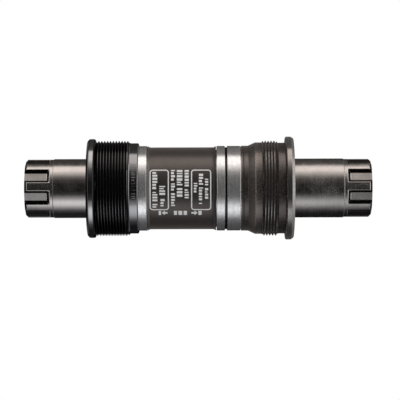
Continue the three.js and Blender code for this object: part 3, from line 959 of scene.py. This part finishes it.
def dark_cup_steel():
    """Dark brownish-grey plated steel with turning marks under the plating. The flange is ground brighter. A
    painted highlight brightens the thread's crests; painted shade darkens the thread's roots, the corner at
    the flange, the lip's groove and the cone, and painted light brightens the land next to the cone."""
    material, tree, shader = new_material(
        "dark_cup_steel", Metallic=0.92, Sheen_Weight=0.45, Sheen_Roughness=0.4, Sheen_Tint=WARM,
    )
    x, _, _, radius = axle_place(tree)
    lip, face, _ = span("drive_side_cup")
    seat = face - FLANGE_DEPTH
    flange = remap(tree, x, seat + 0.1, seat + 0.3, 0, 1)
    # painted shade: the corner where the relief meets the flange is made nearly black
    flange_corner_painted_shade = window(tree, x, seat - 0.3, seat + 0.2, 0.1)
    # painted shade: the small groove near the lip is darkened to a quarter
    lip_groove_painted_shade = window(tree, x, lip + 0.78, lip + 1.02)
    # painted shade: the cone between the lip and the land is darkened to 0.4
    cone = window(tree, x, lip + 2.7, lip + 4.9, 0.2)
    # painted light: the land is brightened up to 1.55 times around where the cone meets it
    land = calc(tree, "MULTIPLY", window(tree, x, lip + 5.2, lip + 5.4, 2.2), 0.55)
    threads = window(tree, x, lip + 7.7, lip + 13.3, 0.15)
    # painted shade: the thread's roots are darkened to 0.35
    deep = remap(tree, radius, THREAD_CREST - 0.35, THREAD_CREST - 0.1, 1, 0)
    root_painted_shade = calc(tree, "MULTIPLY", threads, deep)
    marks = lathe_marks(tree, 4, length=0.1)
    mottle = grain(tree, 1.1, detail=5, roughness=0.65)
    # painted highlight: the thread's crests are brightened, with a mottle
    crest_painted_highlight = calc(tree, "MULTIPLY", remap(tree, radius, THREAD_CREST - 0.1, THREAD_CREST, 0, 1),
                remap(tree, mottle, 0.35, 0.6, 0.5, 1.5))
    plated = shade(tree, mottle, (0.3, (0.115, 0.1, 0.091)), (0.72, (0.175, 0.156, 0.144)))
    bright = shade(tree, mottle, (0.3, (0.3, 0.28, 0.27)), (0.72, (0.42, 0.395, 0.38)))
    # the ground flange's own brighter finish, and the painted highlight on the thread's crests
    shiny = calc(tree, "MAXIMUM", flange, crest_painted_highlight)
    colour = mix(tree, shiny, plated, bright)
    for mask, factor in ((flange_corner_painted_shade, 0.03), (lip_groove_painted_shade, 0.25), (cone, 0.4), (land, 2), (root_painted_shade, 0.35)):
        colour = masked(tree, colour, mask, factor)
    polish = calc(tree, "MULTIPLY", shiny, 0.15)
    rough = calc(tree, "SUBTRACT", remap(tree, mottle, 0.3, 0.7, 0.24, 0.34), polish)
    surface(tree, shader, colour, rough)
    under = bump(tree, shader, marks, 0.004)
    bump(tree, shader, mottle, 0.003, under=under)
    return material


def sleeve_paint():
    """Satin warm dark grey paint with a fine grain, with painted shade that darkens its right end."""
    material, tree, shader = new_material(
        "sleeve_paint", Metallic=0.9, Sheen_Weight=0.5, Sheen_Roughness=0.4, Sheen_Tint=WARM,
    )
    fine = grain(tree, 7, detail=4, roughness=0.7)
    broad = grain(tree, 0.35, detail=3)
    mixed = calc(tree, "ADD", calc(tree, "MULTIPLY", fine, 0.7), calc(tree, "MULTIPLY", broad, 0.3))
    right = span("center_sleeve")[1]
    paint = shade(tree, mixed, (0.3, (0.095, 0.083, 0.077)), (0.7, (0.14, 0.125, 0.116)))
    # painted shade: the paint darkens towards the sleeve's right end
    paint = times(tree, paint, remap(tree, axle_place(tree)[0], right - 1.7, right - 0.2, 1, 0.2))
    surface(tree, shader, paint, remap(tree, fine, 0.3, 0.7, 0.29, 0.37))
    bump(tree, shader, fine, 0.006)
    return material


def print_white():
    """White screen print: a thin film of ink with fine specks where the paint shows through."""
    material, tree, shader = new_material("print_white", Specular_IOR_Level=0.4)
    specks = grain(tree, 5, detail=4, roughness=0.7)
    colour = shade(
        tree, specks, (0.25, (0.6, 0.59, 0.58)), (0.42, (0.9, 0.89, 0.88)), (0.8, (0.97, 0.96, 0.95)),
    )
    surface(tree, shader, colour, remap(tree, specks, 0.3, 0.7, 0.45, 0.6))
    bump(tree, shader, specks, 0.003)
    return material


def seal_rubber():
    """Black moulded rubber with a matt bloom."""
    material, tree, shader = new_material("seal_rubber", Specular_IOR_Level=0.35)
    fine = grain(tree, 6, detail=4)
    broad = grain(tree, 0.5, detail=3)
    colour = shade(tree, broad, (0.3, (0.012, 0.012, 0.012)), (0.75, (0.03, 0.029, 0.028)))
    surface(tree, shader, colour, remap(tree, fine, 0.3, 0.7, 0.5, 0.7))
    bump(tree, shader, fine, 0.01)
    return material


def cage_polymer():
    """Dark green-brown moulded nylon with flow marks and a film of grease."""
    material, tree, shader = new_material("cage_polymer", Coat_Weight=0.25, Coat_Roughness=0.15)
    flow = grain(tree, 0.6, detail=4, distortion=1.5)
    fine = grain(tree, 6, detail=3)
    colour = shade(tree, flow, (0.3, (0.05, 0.036, 0.018)), (0.7, (0.1, 0.075, 0.04)))
    surface(tree, shader, colour, remap(tree, fine, 0.3, 0.7, 0.38, 0.52))
    bump(tree, shader, fine, 0.006)
    return material


def spring_steel():
    """Dark oiled spring steel."""
    material, tree, shader = new_material("spring_steel", Metallic=1.0)
    scale = grain(tree, 2.5, detail=5, roughness=0.7)
    colour = shade(tree, scale, (0.3, (0.1, 0.097, 0.095)), (0.7, (0.2, 0.195, 0.19)))
    surface(tree, shader, colour, remap(tree, scale, 0.3, 0.7, 0.28, 0.42))
    bump(tree, shader, scale, 0.004)
    return material


# ---------------------------------------------------------------- studio
PANEL_STRENGTH = 1.35
END_STRENGTH = 1.1
# The panels' colours by their angle round the axle, in degrees.
PANELS = (
    (-112, (0.015, 0.015, 0.017)), (-93, (0.08, 0.08, 0.086)), (-82, (0.34, 0.34, 0.36)),
    (-70, (0.76, 0.77, 0.81)), (-58, (0.95, 0.96, 1)), (-50, (0.85, 0.86, 0.9)), (-40, (0.4, 0.4, 0.42)),
    (-26, (0.05, 0.05, 0.052)), (-12, 0.012), (14, 0.012), (34, (0.05, 0.047, 0.045)),
    (46, (0.16, 0.15, 0.145)), (58, (0.5, 0.47, 0.45)), (72, (0.95, 0.89, 0.855)), (92, (1, 0.94, 0.9)),
    (101, (0.12, 0.114, 0.108)), (114, (0.06, 0.057, 0.054)), (150, (0.04, 0.038, 0.036)),
)
END_FRONT = ((-130, 0.15), (-80, 0.7), (-30, 1), (30, 1), (80, 0.75), (130, 0.15))
FLOOR_DROP = 0.75
FLOOR_RADIUS = 2.9
BACKDROP_RADIUS = 3


def studio_light():
    """Soft light from a broad warm panel above, a cooler one below and one at each end of the axle. It is
    dim on the printed side's own level, so the round surfaces show two bright bands with a dark one
    between them."""
    world = bpy.data.worlds.new("soft_studio")
    bpy.context.scene.world = world
    world.use_nodes = True
    tree = world.node_tree
    x, y, z = add(tree, "SeparateXYZ", {0: add(tree, "TexCoord", {}).outputs["Generated"]}).outputs
    angle = calc(tree, "ARCTAN2", z, calc(tree, "MULTIPLY", y, -1.0))
    share = remap(tree, angle, -math.pi, math.pi, 0, 1)
    lengthwise = remap(tree, x, -1, 1, 0, 1)

    def round_axle(stops):
        return shade(tree, share, *(((degrees + 180) / 360, colour) for degrees, colour in stops))

    def product(a, b, strength):
        return times(tree, add(tree, "VectorMath", {0: a, 1: b}, operation="MULTIPLY").outputs[0], strength)

    upper_reach = shade(tree, calc(tree, "ABSOLUTE", x), (0.25, 1), (0.5, 0.6), (0.75, 0.45), (1, 0.2))
    lower_reach = shade(
        tree, lengthwise,
        (0.36, 0.05), (0.43, 0.6), (0.47, 1), (0.5, 0.95), (0.53, 0.45), (0.58, 0.12), (0.66, 0.05),
    )
    panel_reach = mix(tree, remap(tree, z, -0.05, 0.05, 0, 1), lower_reach, upper_reach)
    ends = shade(
        tree, lengthwise,
        (0, 0.02), (0.12, 0.05), (0.19, 1), (0.29, 1), (0.35, 0),
        (0.65, 0), (0.71, 1), (0.83, 1), (0.88, 0.8), (0.98, 1), (1, 0.8),
    )
    light = add(tree, "VectorMath", {
        0: product(round_axle(PANELS), panel_reach, PANEL_STRENGTH),
        1: product(ends, round_axle(END_FRONT), END_STRENGTH),
    }, operation="ADD").outputs[0]
    tree.links.new(light, tree.nodes["Background"].inputs["Color"])


def stage_material(name, variation):
    """A white surface that shines by itself, with a mottle of this depth."""
    material = bpy.data.materials.new(name)
    material.use_nodes = True
    tree = material.node_tree
    tree.nodes.remove(tree.nodes["Principled BSDF"])
    strength = remap(tree, grain(tree, 0.004, detail=2), 0.3, 0.7, 1 - variation, 1)
    glow = add(tree, "Emission", {"Color": (1, 1, 1, 1), "Strength": strength}).outputs[0]
    tree.links.new(glow, tree.nodes["Material Output"].inputs["Surface"])
    return material


def studio_set():
    """A pale floor well below the object and a white backdrop all round, both seen only by the camera."""
    bm = bmesh.new()
    bmesh.ops.create_circle(bm, cap_ends=True, segments=96, radius=FLOOR_RADIUS)
    floor = finish_mesh("studio_floor", bm, smooth=False)
    floor.location.z = -FLOOR_DROP
    floor.data.materials.append(stage_material("pale_floor", 0.004))
    bm = bmesh.new()
    bmesh.ops.create_icosphere(bm, subdivisions=4, radius=BACKDROP_RADIUS)
    backdrop = finish_mesh("studio_backdrop", bm)
    backdrop.data.materials.append(stage_material("white_backdrop", 0.0))
    for piece in (floor, backdrop):
        piece.visible_diffuse = False
        piece.visible_glossy = False
        piece.visible_transmission = False
        piece.visible_shadow = False


def product_camera():
    """A long lens straight at the printed side, with the axle across the picture."""
    data = bpy.data.cameras.new("product_camera")
    data.sensor_width = 36
    data.lens = 171.9
    data.clip_start = 0.05
    camera = bpy.data.objects.new("product_camera", data)
    bpy.context.scene.collection.objects.link(camera)
    camera.location = (2.8 * MM, -700 * MM, -4.3 * MM)
    camera.rotation_euler = (math.pi / 2, math.radians(0.14), 0)
    bpy.context.scene.camera = camera
    bpy.context.scene.view_settings.view_transform = "Standard"


# ---------------------------------------------------------------- the object
def place_piece(piece, body, slot, material, *nodes):
    """Puts a piece on its body with its finish, in the place of these CAD nodes."""
    piece.data.materials.append(material)
    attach(piece, body)
    if nodes:
        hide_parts(*nodes)


def dress():
    """Makes every piece and puts it in its place."""
    steel, balls, polymer = race_steel(), ball_steel(), cage_polymer()
    rubber, spring = seal_rubber(), spring_steel()
    ink = print_white()
    black = gloss_black()
    place_piece(left_adapter(), "left_adapter", "gloss_black", black, "left_adapter_cup")
    place_piece(nose_marks(), "left_adapter", "gloss_black", black)
    place_piece(drive_side_cup(), "cartridge_body", "dark_cup_steel", dark_cup_steel(), "drive_side_cup")
    place_piece(axle(), "spindle", "axle_steel", axle_steel(), "axle")
    place_piece(left_outer_race(), "cartridge_body", "polished_steel", steel, "left_outer_race")
    place_piece(right_outer_race(), "cartridge_body", "polished_steel", steel, "right_outer_race")
    place_piece(sleeve(), "cartridge_body", "sleeve_paint", sleeve_paint(), "center_sleeve")
    for piece in print_marks():
        place_piece(piece, "cartridge_body", "print_white", ink)
    for side, name in SIDE_NAMES.items():
        place_piece(inner_race(side), "spindle", "polished_steel", steel, name + "_inner_race")
        place_piece(outer_seal(side), "cartridge_body", "seal_rubber", rubber, name + "_outer_seal")
        place_piece(inner_shield(side), "cartridge_body", "spring_steel", spring, name + "_inner_shield")
        place_piece(snap_ring(side), "spindle", "spring_steel", spring, name + "_retaining_ring")
        place_piece(cage(side), name + "_ball_row", "cage_polymer", polymer, name + "_ball_cage")
        for i in range(BALLS_PER_ROW):
            node = f"{name}_ball_{i + 1:02d}"
            place_piece(ball(node), name + "_ball_row", "ball_steel", balls, node)


dress()
studio_light()
studio_set()
product_camera()
